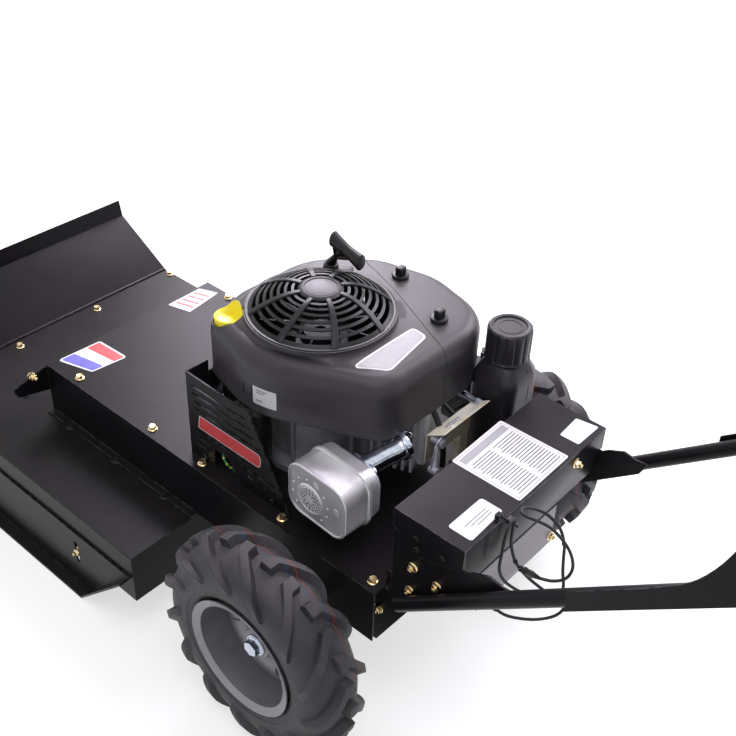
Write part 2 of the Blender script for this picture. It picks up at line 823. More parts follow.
def housing_shell(name):
    """Open moulding: straight side, round shoulder, and a top that runs in to the grille ring."""
    outline = shroud_outline()
    count = len(outline)
    levels = [(0.0, shroud_bottom), (0.0, shroud_top - shroud_shoulder - 0.018)]
    for k in range(1, 3):
        angle = k * pi / 4
        levels.append((shroud_shoulder * (1 - cos(angle)), shroud_top - 0.018
                       - shroud_shoulder * (1 - sin(angle))))
    bm = bmesh.new()
    rings = []
    for inset, z in levels:
        ring = []
        for i, (x, y) in enumerate(outline):
            a = Vector(outline[i - 1])
            b = Vector(outline[(i + 1) % count])
            along = (b - a).normalized()
            inward = Vector((-along.y, along.x))
            point = Vector((x, y)) + inward * inset
            ring.append(bm.verts.new((point.x, point.y, z)))
        rings.append(ring)
    rim_top = shroud_top - 0.006
    for share, z in ((0.5, shroud_top - 0.014), (1.0, rim_top), (1.0, shroud_top + 0.004)):
        ring = []
        for x, y in outline:
            angle = atan2(y, x)
            radius = grille_radius + 0.006
            edge = rings[len(levels) - 1][len(ring)].co
            circle = Vector((radius * cos(angle), radius * sin(angle)))
            point = Vector((edge.x, edge.y)).lerp(circle, share)
            ring.append(bm.verts.new((point.x, point.y, z)))
        rings.append(ring)
    for a, b in zip(rings, rings[1:]):
        for i in range(count):
            k = (i + 1) % count
            bm.faces.new((a[i], a[k], b[k], b[i]))
    bmesh.ops.translate(bm, vec=(0, y_at(crank_station), 0), verts=bm.verts)
    mesh = bpy.data.meshes.new(name)
    bm.to_mesh(mesh)
    bm.free()
    obj = place(mesh, name, black_plastic())
    wall = obj.modifiers.new("wall", 'SOLIDIFY')
    wall.thickness = shroud_wall
    wall.offset = -1
    wall.use_even_offset = False
    return smooth(obj)


def seam_line(shift):
    """Edge between the blower housing and the air cleaner cover, moved sideways by shift."""
    path = [(-0.072, 0.300), (-0.072, 0.214), (-0.104, 0.128), (-0.140, 0.050), (-0.168, -0.020),
            (-0.196, -0.072), (-0.300, -0.150)]
    return [(x + shift, y + y_at(crank_station) - shift * 0.45) for x, y in path]


def seam_tool(name, shift):
    """Block over the cover's side of the seam."""
    line = seam_line(shift)
    outline = line + [(-0.40, line[-1][1]), (-0.40, line[0][1])]
    return plate(name, outline, 'Z', shroud_bottom - 0.05, 0.25, black_plastic())


def blower_housing():
    """Main moulding, with a round collar at its corner for the oil filler."""
    housing = housing_shell("blower_housing")
    x, y = filler_place()
    bore = oil_cap_radius + 0.0015
    collar = turned("filler_collar", [(bore, collar_top()), (collar_radius, collar_top()),
                                      (collar_radius, shroud_bottom), (bore, shroud_bottom)],
                    (x, y, 0), 'Z', black_plastic(), 16)
    clear = rod("filler_hole", (x, y, shroud_bottom - 0.01), 'Z', 0.2, bore, black_plastic(), 16)
    cut(housing, seam_tool("seam_cut", 0.0), clear)
    weld(housing, collar)
    for degrees in housing_lugs:
        reach = shroud_reach(radians(degrees)) - shroud_wall / 2
        lug = block("housing_lug", (0.078, -0.009, case_top() + gap), (reach, 0.009, case_top() + 0.005),
                    black_plastic())
        lug.matrix_world = (Matrix.Translation((0, y_at(crank_station), 0))
                            @ Matrix.Rotation(radians(degrees), 4, 'Z'))
        weld(housing, lug)
    return housing


def air_cleaner_cover():
    cover = housing_shell("air_cleaner_cover")
    boolean(cover, seam_tool("seam_keep", -2 * gap), 'INTERSECT')
    for x, y in knob_places():
        cut(cover, rod("knob_hole", (x, y, shroud_top - 0.05), 'Z', 0.1, 0.0065 + run_gap,
                       black_plastic()))
    return cover


def filler_place():
    return (filler_x, y_at(crank_station) + filler_back)


def collar_top():
    return shroud_top - 0.022


def filler_top():
    return collar_top() - 0.009


def knob_places():
    return [(-0.187, y_at(crank_station) + 0.020), (-0.128, y_at(crank_station) + 0.156)]


def cover_knob(number):
    """Quarter-turn knob of the air cleaner cover: round skirt, square grip and a stem."""
    x, y = knob_places()[number]
    name = ("cover_knob_front", "cover_knob_rear")[number]
    seat = shroud_top - 0.010 + gap
    knob = rod(name, (x, y, seat), 'Z', 0.005, 0.0155, black_plastic(), 20)
    grip = block("knob_grip", (x - 0.0085, y - 0.0065, seat + 0.002), (x + 0.0085, y + 0.0065, seat + 0.020),
                 black_plastic(), 0.002, 1)
    stem = rod("knob_stem", (x, y, seat - 0.020), 'Z', 0.022, 0.0065, black_plastic(), 16)
    return hinge_on(weld(knob, grip, stem), (x, y, seat))


def fan_grille():
    """Domed grille: a polar net of ribs and bars round a plain hub, with swept ribs."""
    bands = [grille_hub_radius]
    slot_width = (grille_radius - 0.006 - grille_hub_radius) / (grille_slots + 0.4 * (grille_slots - 1))
    for _ in range(grille_slots - 1):
        bands.append(bands[-1] + slot_width)
        bands.append(bands[-1] + 0.4 * slot_width)
    bands.append(bands[-1] + slot_width)
    bands.append(grille_radius)
    sector = 2 * pi / grille_ribs
    rib = 0.13 * sector
    offsets = [0.0, rib, rib + (sector - rib) / 2]
    top = shroud_top + 0.004

    def height(radius):
        share = (radius - grille_hub_radius) / (grille_radius - grille_hub_radius)
        return top + grille_rise * cos(share * pi / 2) ** 0.9 - 0.001

    bm = bmesh.new()
    rings = []
    for radius in bands:
        sweep = -0.42 * (radius - grille_hub_radius) / (grille_radius - grille_hub_radius)
        ring = []
        for s in range(grille_ribs):
            for off in offsets:
                angle = s * sector + off + sweep
                ring.append(bm.verts.new((radius * cos(angle), radius * sin(angle), height(radius))))
        rings.append(ring)
    wide = len(offsets)
    count = wide * grille_ribs
    for j in range(len(bands) - 1):
        is_slot = j % 2 == 0
        for i in range(count):
            if is_slot and i % wide != 0:
                continue
            k = (i + 1) % count
            bm.faces.new((rings[j][i], rings[j + 1][i], rings[j + 1][k], rings[j][k]))
    hub = bm.verts.new((0, 0, height(grille_hub_radius) + 0.003))
    for i in range(count):
        bm.faces.new((rings[0][i], rings[0][(i + 1) % count], hub))
    outer = [bm.verts.new((v.co.x, v.co.y, top - 0.012)) for v in rings[-1]]
    for i in range(count):
        k = (i + 1) % count
        bm.faces.new((rings[-1][i], outer[i], outer[k], rings[-1][k]))
    bmesh.ops.recalc_face_normals(bm, faces=bm.faces)
    bmesh.ops.translate(bm, vec=(0, y_at(crank_station), 0), verts=bm.verts)
    mesh = bpy.data.meshes.new("fan_grille")
    bm.to_mesh(mesh)
    bm.free()
    obj = place(mesh, "fan_grille", black_plastic())
    wall = obj.modifiers.new("wall", 'SOLIDIFY')
    wall.thickness = 0.0035
    wall.offset = -1
    return weld(obj, rope_guide())


def flywheel_fan():
    """Flywheel with its ring of fan blades, under the grille."""
    top = shroud_top - 0.060
    r = crank_radius * 0.8 + gap
    profile = [(r, top + 0.020), (0.030, top + 0.020), (0.036, top + 0.004), (0.108, top + 0.002),
               (0.108, top - 0.014), (r, top - 0.014)]
    wheel = turned("flywheel_fan", profile, (0, y_at(crank_station), 0), 'Z', cast_metal())
    count = 9
    for k in range(count):
        turn = Matrix.Rotation(2 * pi * k / count, 4, 'Z')
        around = Matrix.Translation((0, y_at(crank_station), 0)) @ turn
        blade = block("fan_blade", (0.052, -0.0015, top), (0.104, 0.0015, top + 0.034), cast_metal())
        blade.matrix_world = around @ Matrix.Rotation(0.5, 4, 'Z')
        weld(wheel, blade)
    return wheel


def case_top():
    return shroud_bottom + 0.014


def crankcase():
    """Cast crankcase on the platform: base flange, ribbed drum, and a bore for the crankshaft."""
    y = y_at(crank_station)
    base = platform_top + gap
    top = case_top()
    case = turned("crankcase", [(0, top), (0.088, top), (0.096, top - 0.010), (0.100, base + 0.030),
                                (0.112, base + 0.012), (0.112, base), (0, base)], (0, y, 0), 'Z',
                  cast_metal(), 20)
    for k in range(6):
        angle = 2 * pi * k / 6 + 0.3
        rib = block("case_rib", (0.08, -0.0025, base + 0.006), (0.108, 0.0025, top - 0.016), cast_metal())
        rib.matrix_world = Matrix.Translation((0, y, 0)) @ Matrix.Rotation(angle, 4, 'Z')
        weld(case, rib)
    bore = rod("crank_bore", (0, y, base - 0.02), 'Z', top - base + 0.04, crank_radius + run_gap,
               cast_metal())
    x, yf = filler_place()
    boss = block("filler_boss", (0.03, yf - 0.022, base + 0.04), (x + 0.022, yf + 0.030, base + 0.10),
                 cast_metal(), 0.006, 1)
    pad = block("cylinder_pad", (-0.046, 0.070, base + 0.030), (0.046, cylinder_foot, top - 0.022),
                cast_metal(), 0.004)
    pad.matrix_world = cylinder_frame()
    weld(case, boss, pad)
    seat = rod("filler_seat", (x, yf, base + 0.07), 'Z', 0.05, filler_radius + gap, cast_metal())
    return cut(case, bore, seat)


def cylinder_frame():
    """Frame of the cylinder: its +Y runs out along the cylinder's axis from the crankshaft."""
    return Matrix.Translation((0, y_at(crank_station), 0)) @ Matrix.Rotation(cylinder_angle, 4, 'Z')


def cylinder_block():
    """Finned cylinder and head, one casting here, butted against the crankcase."""
    z0, z1 = platform_top + 0.026, shroud_bottom + 0.010
    start, end = cylinder_foot + gap, cylinder_end
    core = block("cylinder_block", (-0.040, start, z0 + 0.012), (0.040, end, z1 - 0.014), cast_metal())
    fins = 6
    pitch = (end - start - 0.010) / (fins - 1)
    for k in range(fins):
        at = start + 0.004 + k * pitch
        fin = block("fin", (-0.056, at, z0), (0.056, at + 0.005, z1), cast_metal())
        weld(core, fin)
    port = rod("exhaust_port", (0.030, 0.170, exhaust_z()), 'X', 0.05, 0.016, cast_metal())
    intake = rod("intake_port", (-intake_reach, 0.155, intake_z()), 'X', 0.05, 0.014, cast_metal())
    weld(core, port, intake, valve_cover())
    bpy.context.view_layer.update()
    for obj in [core] + [m.object for m in core.modifiers]:
        obj.matrix_world = cylinder_frame() @ obj.matrix_world
    return core


def exhaust_z():
    return platform_top + 0.128


def intake_z():
    return platform_top + 0.122


def valve_cover():
    """Pressed cover on the end of the cylinder head."""
    z0, z1 = platform_top + 0.034, shroud_bottom + 0.002
    return block("valve_cover", (-0.044, cylinder_end - 0.001, z0), (0.044, cylinder_end + 0.020, z1),
                 cast_metal(), 0.006)


def muffler_frame():
    """Frame of the muffler: origin in the middle of its outer face, +X out of the face."""
    middle = Matrix.Translation((0.205, y_at(-0.012), platform_top + 0.100))
    return middle @ Matrix.Rotation(muffler_angle, 4, 'Z')


def muffler():
    """Pressed aluminium can with rolled edges, a seam and a ring of outlet holes."""
    depth = 0.084
    outline = rounded([(-0.058, -0.045, 0.024), (0.058, -0.045, 0.024), (0.058, 0.045, 0.024),
                       (-0.058, 0.045, 0.024)], 4)
    can = plate("muffler", outline, 'X', -depth, depth, bare_metal())
    soft = can.modifiers.new("rolled_edge", 'BEVEL')
    soft.width = 0.006
    soft.segments = 1
    soft.limit_method = 'ANGLE'
    soft.angle_limit = radians(60)
    seam = rounded([(-0.061, -0.048, 0.026), (0.061, -0.048, 0.026), (0.061, 0.048, 0.026),
                    (-0.061, 0.048, 0.026)], 4)
    weld(can, plate("muffler_seam", seam, 'X', -depth * 0.62, 0.004, bare_metal()))
    outlet = turned("muffler_outlet", [(0.026, 0.0025), (0.024, 0.004), (0.010, 0.004), (0.008, 0.0025),
                                       (0.008, -0.004), (0.026, -0.004)], (0, -0.012, 0), 'X',
                    bare_metal(), 14)
    weld(can, outlet)
    bpy.context.view_layer.update()
    for obj in [can] + [m.object for m in can.modifiers if m.type == 'BOOLEAN']:
        obj.matrix_world = muffler_frame() @ obj.matrix_world
    return can


def exhaust_pipe():
    """Plated pipe and flange from the cylinder's port to the back of the muffler."""
    port = cylinder_frame() @ Vector((0.080 + gap, 0.170, exhaust_z()))
    out = (cylinder_frame().to_3x3() @ Vector((1, 0, 0))).normalized()
    back = muffler_frame() @ Vector((-0.084 - gap, 0.030, exhaust_z() - platform_top - 0.100))
    into = (muffler_frame().to_3x3() @ Vector((1, 0, 0))).normalized()
    chain = bent([port, port + out * 0.020, back - into * 0.020, back], 0.016, 5)
    pipe = tube("exhaust_pipe", chain, 0.012, zinc(), 4)
    return pipe


def control_bracket():
    """Yellow-plated bracket of the throttle and governor controls, behind the cylinder head."""
    y = y_at(0.036)
    z0 = platform_top + 0.075
    path = [(y, z0), (y, z0 + 0.060), (y + 0.036, z0 + 0.082)]
    bracket = folded("control_bracket", path[::-1], 0.002, 'X', -0.142, 0.128, chromate())
    foot = block("bracket_foot", (-0.142, y - 0.020, platform_top + gap), (-0.118, y, z0 + 0.006),
                 chromate())
    return weld(bracket, foot)


def carburettor():
    """Cast body with a float bowl, bolted to the cylinder's intake port under the air cleaner."""
    z = intake_z()
    inner = -intake_reach - gap
    body = block("carburettor", (inner - 0.048, 0.133, z - 0.022), (inner, 0.177, z + 0.022), cast_metal(),
                 0.005)
    bowl = rod("float_bowl", (inner - 0.026, 0.155, z - 0.052), 'Z', 0.034, 0.020, cast_metal())
    weld(body, bowl)
    bpy.context.view_layer.update()
    for obj in (body, bowl):
        obj.matrix_world = cylinder_frame() @ obj.matrix_world
    return body


def starter_motor():
    """Electric starter: dark can standing at the left front of the crankcase."""
    x, y = 0.142, y_at(crank_station) - 0.020
    base = platform_top + gap
    profile = [(0, shroud_bottom - 0.003), (0.022, shroud_bottom - 0.003), (0.0285, shroud_bottom - 0.014),
               (0.0285, base + 0.030), (0.024, base + 0.018), (0.024, base), (0, base)]
    return turned("starter_motor", profile, (x, y, 0), 'Z', black_plastic())


def oil_fill_tube():
    """Filler pipe from the crankcase up through the corner of the blower housing."""
    x, y = filler_place()
    base = platform_top + 0.071 + gap
    top = filler_top()
    r = filler_radius
    profile = [(r, top), (r, base), (r - 0.005, base), (r - 0.005, top)]
    return turned("oil_fill_tube", profile, (x, y, 0), 'Z', black_plastic())


def oil_cap():
    """Yellow cap: dished disc with a raised finger tab and a plug in the pipe."""
    x, y = filler_place()
    seat = filler_top() + gap
    r = oil_cap_radius
    profile = [(0, seat + 0.014), (r - 0.008, seat + 0.014), (r - 0.001, seat + 0.011), (r, seat),
               (0.012 - gap, seat), (0.012 - gap, seat - 0.014), (0, seat - 0.014)]
    cap = turned("oil_cap", profile, (x, y, 0), 'Z', yellow_plastic(), 20)
    tab = block("cap_tab", (-0.0035, -0.020, seat + 0.008), (0.0035, 0.020, seat + 0.026),
                yellow_plastic(), 0.003)
    tab.matrix_world = Matrix.Translation((x, y, 0)) @ Matrix.Rotation(radians(-50), 4, 'Z')
    return weld(cap, tab)


def fuel_tank():
    """Blow-moulded square tank with round corners, sloping shoulders and a neck."""
    s = tank_side / 2
    base = platform_top + gap
    levels = [(0.90, 0.0), (1.0, 0.008), (1.0, tank_height - 0.052), (0.94, tank_height - 0.034),
              (0.80, tank_height - 0.018)]
    outline = rounded([(s, -s, 0.026), (s, s, 0.026), (-s, s, 0.026), (-s, -s, 0.026)], 4)
    neck = 0.030
    bm = bmesh.new()
    rings = [[bm.verts.new((x * k, y * k, z)) for x, y in outline] for k, z in levels]
    for z in (tank_height - 0.012, tank_height + 0.012):
        ring = []
        for x, y in outline:
            angle = atan2(y, x)
            ring.append(bm.verts.new((neck * cos(angle), neck * sin(angle), z)))
        rings.append(ring)
    count = len(outline)
    for a, b in zip(rings, rings[1:]):
        for i in range(count):
            k = (i + 1) % count
            bm.faces.new((a[i], a[k], b[k], b[i]))
    bm.faces.new(rings[0][::-1])
    bmesh.ops.translate(bm, vec=(tank_x, y_at(tank_station), base), verts=bm.verts)
    mesh = bpy.data.meshes.new("fuel_tank")
    bm.to_mesh(mesh)
    bm.free()
    tank = place(mesh, "fuel_tank", black_plastic())
    wall = tank.modifiers.new("wall", 'SOLIDIFY')
    wall.thickness = 0.003
    wall.offset = -1
    return smooth(tank)


def fuel_cap():
    """Ribbed screw cap over the tank's neck, with a recessed top."""
    base = platform_top + gap + tank_height - 0.008
    top = base + fuel_cap_height
    r = fuel_cap_radius
    profile = [(0, top - 0.003), (r * 0.74, top - 0.003), (r * 0.78, top), (r * 0.94, top),
               (r, top - 0.006), (r, base + 0.002), (r - 0.002, base), (0.030 + run_gap, base),
               (0.030 + run_gap, base + 0.020 + 0.003), (0, base + 0.020 + 0.003)]
    cap = turned("fuel_cap", profile, (tank_x, y_at(tank_station), 0), 'Z', black_plastic(), 24)
    return cap


def fuel_hose():
    """Fuel hose from the foot of the tank round to the carburettor."""
    z = platform_top + 0.022
    start = Vector((tank_x, y_at(tank_station) - tank_side / 2 - 2 * gap, z))
    inlet = cylinder_frame() @ Vector((-intake_reach - 0.048 - 3 * gap, 0.155, intake_z()))
    into = cylinder_frame().to_3x3() @ Vector((0.022, 0, 0))
    near = inlet - into
    chain = [start, start + Vector((0, -0.030, 0)), (near.x, near.y + 0.020, z + 0.030), near, inlet]
    return tube("fuel_hose", bent(chain, 0.012, 4), 0.0045, rubber(), 2)


def grip_place():
    return Vector((-0.095, y_at(crank_station) - 0.028, shroud_top + 0.064))


def recoil_grip():
    """Pull grip: a waisted bar across a stem that sits on the rope guide."""
    at = grip_place()
    half = 0.046
    profile = [(0, half), (0.008, half), (0.0115, half - 0.006), (0.0095, half * 0.4), (0.0085, 0),
               (0.0095, -half * 0.4), (0.0115, -half + 0.006), (0.008, -half), (0, -half)]
    bar = turned("recoil_grip", profile, at, 'Y', black_plastic(), 14)
    stem = rod("grip_stem", (at.x, at.y, rope_guide_top() + gap), 'Z', at.z - rope_guide_top(), 0.0085,
               black_plastic(), 12, 0.0065)
    return weld(bar, stem)


def rope_guide_top():
    return shroud_top + 0.034


def rope_guide():
    """Raised bush on the grille's rim, through which the starter rope runs."""
    at = grip_place()
    low = shroud_top - 0.006
    return turned("rope_guide", [(0.012, rope_guide_top()), (0.016, rope_guide_top() - 0.004),
                                 (0.019, low), (0.004, low), (0.004, rope_guide_top())],
                  (at.x, at.y, 0), 'Z', black_plastic(), 14)


def slotted_guard():
    """Guard plate at the engine's left front, with rows of long slots and a return at its front."""
    x = 0.186
    base = platform_top + gap
    outline = [(-0.097, 0.0), (-0.185, 0.181), (-0.340, 0.181), (-0.340, 0.0), (-0.275, 0.0),
               (-0.275, 0.030), (-0.235, 0.030), (-0.235, 0.0)]
    outline = [(y_at(a), base + z) for a, z in outline]
    web = plate("slotted_guard", outline, 'X', x - sheet, sheet, black_coat())
    rows = [(-0.325, -0.190, 0.158), (-0.325, -0.182, 0.143), (-0.325, -0.174, 0.127),
            (-0.325, -0.165, 0.111), (-0.325, -0.280, 0.052), (-0.325, -0.285, 0.040),
            (-0.215, -0.140, 0.052), (-0.215, -0.134, 0.040)]
    for a, b, z in rows:
        slot = [(y_at(a), base + z - 0.0028), (y_at(b), base + z - 0.0028),
                (y_at(b), base + z + 0.0028), (y_at(a), base + z + 0.0028)]
        cut(web, plate("guard_slot", slot, 'X', x - 0.02, 0.04, black_coat()))
    fold = block("guard_return", (x - 0.050, y_at(-0.340), base), (x, y_at(-0.340) + sheet, base + 0.181),
                 black_coat())
    return weld(web, fold)


def battery_box():
    """Folded cover across the rails: front wall, top and a short rear lip, with side flanges."""
    y0, y1 = y_at(box_front), y_at(box_rear)
    path = [(y1, box_top - box_lip), (y1, box_top), (y0, box_top), (y0, platform_top + 0.004)]
    half = box_half + gap + plate_steel + 2 * gap + sheet
    cover = folded("battery_box", path, sheet, 'X', -half, 2 * half, black_coat())
    flange = [(y0 + sheet, box_top - 0.085), (y1 - sheet / 2, box_top - box_lip),
              (y1 - sheet / 2, box_top - sheet / 2), (y0 + sheet / 2, box_top - sheet / 2)]
    for start in (-half, half - sheet):
        weld(cover, plate("box_flange", flange, 'X', start, sheet, black_coat()))
    below = block("box_front_relief", (-0.4, y0 - 0.01, platform_top - 0.05),
                  (-box_half + 0.002, y0 + 0.01, 0.4495), black_coat())
    other = block("box_front_relief_left", (box_half - 0.002, y0 - 0.01, platform_top - 0.05),
                  (0.4, y0 + 0.01, 0.4495), black_coat())
    x, a, z = lead_peg
    foot = block("clip_foot", (x - 0.005, y1 - 0.010, box_top - sheet / 2),
                 (x + 0.005, y1 - 0.001, z + 0.003), black_plastic())
    peg = rod("clip_peg", (x, y1 - 0.004, z), 'Y', y_at(a) - y1 + 0.004, peg_radius, black_plastic())
    weld(cover, foot, peg)
    return cut(cover, below, other)


def battery():
    """Sealed battery on its shelf inside the box."""
    z = platform_top - 0.020
    y = y_at((box_front + box_rear) / 2)
    case = block("battery", (-0.075, y - 0.038, z + gap), (0.075, y + 0.048, z + 0.100),
                 finish("grey_case", (0.25, 0.26, 0.28), 0.5), 0.003, 1)
    for x in (-0.050, 0.050):
        weld(case, block("terminal", (x - 0.006, y - 0.006, z + 0.099), (x + 0.006, y + 0.006, z + 0.114),
                         zinc()))
    return case


def cross_plate():
    """Plate across the rails below the box: the battery shelf and the rear wall in one fold."""
    y0, y1 = y_at(box_front) + 0.006, y_at(box_rear) - 0.014
    shelf = platform_top - 0.020
    half = box_half
    path = [(y1, box_top - box_lip - 0.010), (y1, shelf - sheet), (y0, shelf - sheet)]
    plate_body = folded("cross_plate", path[::-1], sheet, 'X', -half, 2 * half,
                        finish("grey_coat", (0.17, 0.165, 0.18), 0.4))
    x, a, z = lead_route[0]
    gland = rod("lead_gland", (x, y1 - sheet / 2, z), 'Y', y_at(a) - 1.3 * gap - y1 + sheet / 2,
                2 * lead_radius, rubber())
    return weld(plate_body, gland)


def tube_x():
    return rail_outer() + gap + tube_radius


def bend_point():
    return handle_line(handle_bend)


def grip_direction():
    return Vector((0, cos(grip_angle), sin(grip_angle)))


def handle_points(side):
    """Corner points of one handle tube: rail, bend, grip end."""
    x = side * tube_x()
    start = Vector((x, y_at(handle_start), handle_line(handle_start)))
    corner = Vector((x, y_at(handle_bend), bend_point()))
    reach = (y_at(rear_reach) - corner.y - (grip_radius - 0.003) * sin(grip_angle)) / cos(grip_angle)
    end = corner + grip_direction() * (reach - 0.004)
    return [start, corner, end]


def handle_tube(side):
    name = "handle_tube_left" if side > 0 else "handle_tube_right"
    chain = bent(handle_points(side), 0.060, 8)
    return weld(tube(name, chain, tube_radius, black_coat(), 4), side_panel(side))


def hand_grip(side):
    """Ribbed rubber grip pushed over the end of the handle tube."""
    name = "hand_grip_left" if side > 0 else "hand_grip_right"
    points = handle_points(side)
    end = points[-1] + grip_direction() * 0.004
    ribs = 4
    pitch = (grip_length - 0.016) / ribs
    bore = tube_radius + 3 * gap
    profile = [(0, 0.0), (grip_radius - 0.003, 0.0)]
    for k in range(ribs):
        top = -0.004 - k * pitch
        profile += [(grip_radius, top), (grip_radius - 0.002, top - pitch * 0.6)]
    profile += [(grip_radius + 0.004, -grip_length + 0.006), (grip_radius + 0.004, -grip_length),
                (bore, -grip_length), (bore, -0.004 + gap), (0, -0.004 + gap)]
    grip = turned(name, profile, (0, 0, 0), 'Z', rubber(), 14)
    lean = Matrix.Rotation(grip_angle - pi / 2, 4, 'X')
    grip.matrix_world = Matrix.Translation(end) @ lean
    return grip


def panel_curve():
    """Upper edge of the handle's side panel, from the console's front corner down to its tip."""
    rise = tube_radius / cos(handle_angle) + 0.006
    edge = [(console_front + 0.030, console_top), (console_front, console_top - 0.040)]
    edge += [(console_front - back, console_top - drop) for back, drop in panel_sweep]
    low = console_front - 0.115
    edge += [(low, handle_line(low) + rise), (panel_front, handle_line(panel_front) + rise)]
    return edge


def side_panel(side):
    """Sheet panel on the outside of the handle tube, widening upward to the console."""
    name = "side_panel_left" if side > 0 else "side_panel_right"
    drop = tube_radius / cos(handle_angle)
    outline = panel_curve()
    outline += [(panel_front, handle_line(panel_front) - drop),
                (handle_bend - 0.040, handle_line(handle_bend - 0.040) - drop),
                (console_rear + 0.012, console_top - 0.110), (console_rear + 0.012, console_top - 0.045),
                (console_rear, console_top - 0.030)]
    points = [(y_at(a), z) for a, z in outline]
    inner = tube_x() + tube_radius - panel_sink
    start = inner if side > 0 else -inner - sheet
    return plate(name, points, 'X', start, sheet, black_coat())


def console_slope():
    return atan2(-0.030, console_rear - console_front - 0.030)


def console():
    """Folded control console between the side panels: front wall, sloping top and rear lip."""
    half = tube_x() + tube_radius - panel_sink - gap
    path = [(y_at(console_rear), console_top - 0.080), (y_at(console_rear), console_top - 0.030),
            (y_at(console_front + 0.030), console_top), (y_at(console_front), console_top - 0.040),
            (y_at(console_front - 0.015), console_top - 0.090)]
    body = folded("console", path, sheet, 'X', -half, 2 * half, black_coat())
    for x in (0.060, -0.060):
        a = y_at(lever_station)
        slot = block("lever_slot", (x - 0.004, a - 0.029, console_top - 0.06),
                     (x + 0.004, a + 0.029, console_top + 0.02), black_coat())
        cut(body, slot)
        weld(body, *lever_bracket(x))
    key = rod("key_hole", (0.0, y_at(key_station), console_top - 0.06), 'Z', 0.1, key_radius + run_gap,
              black_coat(), 20)
    return cut(body, key)


def lever_bracket(x):
    """Two ears under the console's top, and the pin between them that a lever turns on."""
    a = y_at(lever_station)
    z = lever_pivot_z()
    top = console_height(lever_station) - sheet / 2
    out = [rod("bracket_pin", (x - 0.0125, a, z), 'X', 0.025, lever_pin_radius, zinc(), 8)]
    for start in (x - 0.0125, x + 0.0105):
        out.append(block("bracket_ear", (start, a - 0.008, z - 0.010),
                         (start + 0.002, a + 0.008, top - 0.002), black_coat()))
    return out


def console_height(station):
    """Height of the console's top face at a station."""
    share = (station - console_front - 0.030) / (console_rear - console_front - 0.030)
    return console_top - 0.030 * share


def key_switch():
    """Round lock in the console with the key in it."""
    a = key_station
    z = console_height(a)
    lock = rod("key_switch", (0, y_at(a), z - 0.030), 'Z', 0.034, key_radius, zinc(), 20)
    bow = block("key_bow", (-0.0012, y_at(a) - 0.010, z + 0.0035), (0.0012, y_at(a) + 0.010, z + 0.026),
                zinc())
    return hinge_on(weld(lock, bow), (0, y_at(a), z))


def lever_pivot_z():
    return console_top - 0.052


def panel_lever(name, x, tip_colour):
    """Flat lever through a console slot, with a ball knob, turning on a hub below the top."""
    a = y_at(lever_station)
    z = lever_pivot_z()
    hub = rod(name, (x - 0.0102, a, z), 'X', 0.0204, 0.009, tip_colour, 14)
    blade = block("lever_blade", (x - 0.0015, a - 0.005, z), (x + 0.0015, a + 0.005, z + 0.070), tip_colour)
    knob = rod("lever_knob", (x, a, z + 0.064), 'Z', 0.026, 0.007, tip_colour, 12, 0.010)
    bore = rod("lever_bore", (x - 0.02, a, z), 'X', 0.04, lever_pin_radius + gap, tip_colour, 8)
    return hinge_on(cut(weld(hub, blade, knob), bore), (x, a, z))


def bail_pivot(side):
    """Pivot of the hand lever under the grip."""
    points = handle_points(side)
    at = points[-1] - grip_direction() * (grip_length + 0.030)
    return at


def hand_lever(side):
    """Squeeze lever on a clamp in front of the grip; its blade runs back below the grip."""
    name = "blade_lever" if side > 0 else "drive_lever"
    at = bail_pivot(side)
    x = at.x
    down = Vector((0, sin(grip_angle), -cos(grip_angle)))
    along = grip_direction()
    pivot = at + down * 0.034
    chain = [pivot, pivot + along * 0.020 + down * 0.004, pivot + along * 0.060 + down * 0.016,
             pivot + along * 0.130 + down * 0.016]
    lever = tube(name, bent(chain, 0.02, 4), 0.005, black_coat(), 2)
    hub = rod("lever_hub", (x - 0.009, pivot.y, pivot.z), 'X', 0.018, 0.009, black_coat(), 12)
    bore = rod("hub_bore", (x - 0.02, pivot.y, pivot.z), 'X', 0.04, lever_pin_radius + gap, black_coat(), 8)
    return hinge_on(cut(weld(lever, hub), bore), pivot)


def lever_clamp(side):
    """Clamp round the handle tube with two ears beside the lever's hub."""
    name = "lever_clamp_left" if side > 0 else "lever_clamp_right"
    at = bail_pivot(side)
    down = Vector((0, sin(grip_angle), -cos(grip_angle)))
    pivot = at + down * 0.034
    ring = turned(name, [(tube_radius + 0.005, 0.013), (tube_radius + 0.005, -0.013),
                         (tube_radius + 3 * gap, -0.013), (tube_radius + 3 * gap, 0.013)], (0, 0, 0), 'Z',
                  black_coat(), 12)
    lean = Matrix.Translation(at) @ Matrix.Rotation(grip_angle - pi / 2, 4, 'X')
    ring.matrix_world = lean
    for start in (-0.0125, 0.0095):
        ear = block("ear", (start, -0.0075, 0.0), (start + 0.003, 0.0075, 0.044), black_coat())
        tilt = Matrix.Translation((at.x, at.y, at.z)) @ Matrix.Rotation(grip_angle + pi, 4, 'X')
        ear.matrix_world = tilt @ ear.matrix_world
        weld(ring, ear)
    pin = rod("lever_pin", (at.x - 0.0125, pivot.y, pivot.z), 'X', 0.025, lever_pin_radius, black_coat(), 8)
    weld(ring, pin)
    clear = rod("tube_clear", (0, 0, -0.03), 'Z', 0.06, tube_radius + 3 * gap, black_coat(), 12)
    clear.matrix_world = lean
    return cut(ring, clear)


def belt_normal():
    """Direction square to the blade belt's left run, pointing out of the belt."""
    across = deck_middle()
    along = y_at(spindle_station) - y_at(crank_station)
    lean = acos((crank_pulley_radius - spindle_pulley_radius) / hypot(across, along))
    angle = atan2(along, across) + lean
    return Vector((cos(angle), sin(angle), 0))


